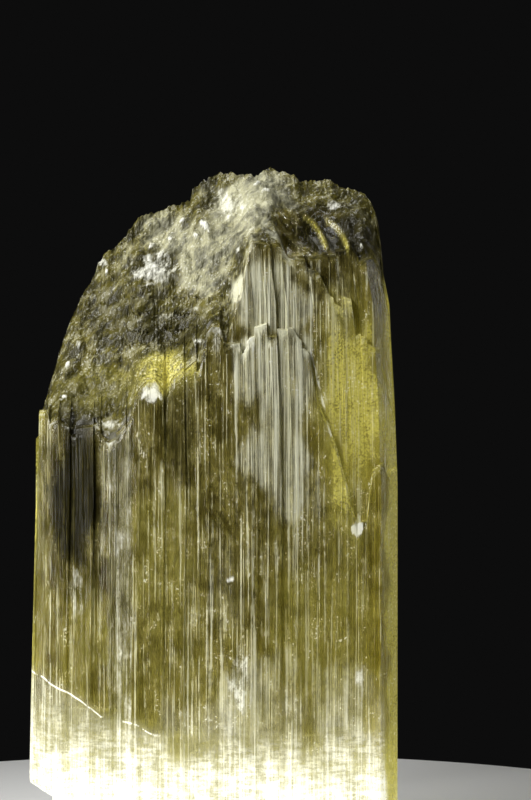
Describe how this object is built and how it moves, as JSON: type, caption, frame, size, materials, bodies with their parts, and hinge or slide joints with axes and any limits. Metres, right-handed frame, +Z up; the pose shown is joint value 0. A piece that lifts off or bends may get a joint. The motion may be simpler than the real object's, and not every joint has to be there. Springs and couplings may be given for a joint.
{
  "type": "spodumene crystal",
  "caption": "Rough spodumene crystal: a flattened, upright, striated prism with an etched, rounded top, on a flat broken base; clear yellow-green, cloudy at top and foot.",
  "frame": {"origin": "middle of the crystal's plan, on the plane of its broken base", "axes": "+Z up along the prism, +Y from the broad front face to the back across the thin way, +X to the right across the width as seen from the front"},
  "size_m": [0.032, 0.015, 0.058],
  "materials": {
    "spodumene": "clear yellow-green crystal, glossy on the striated prism faces, frosted and milky on the etched top and towards the broken base"
  },
  "bodies": {
    "root": {"crystal": "spodumene"}
  },
  "joints": []
}
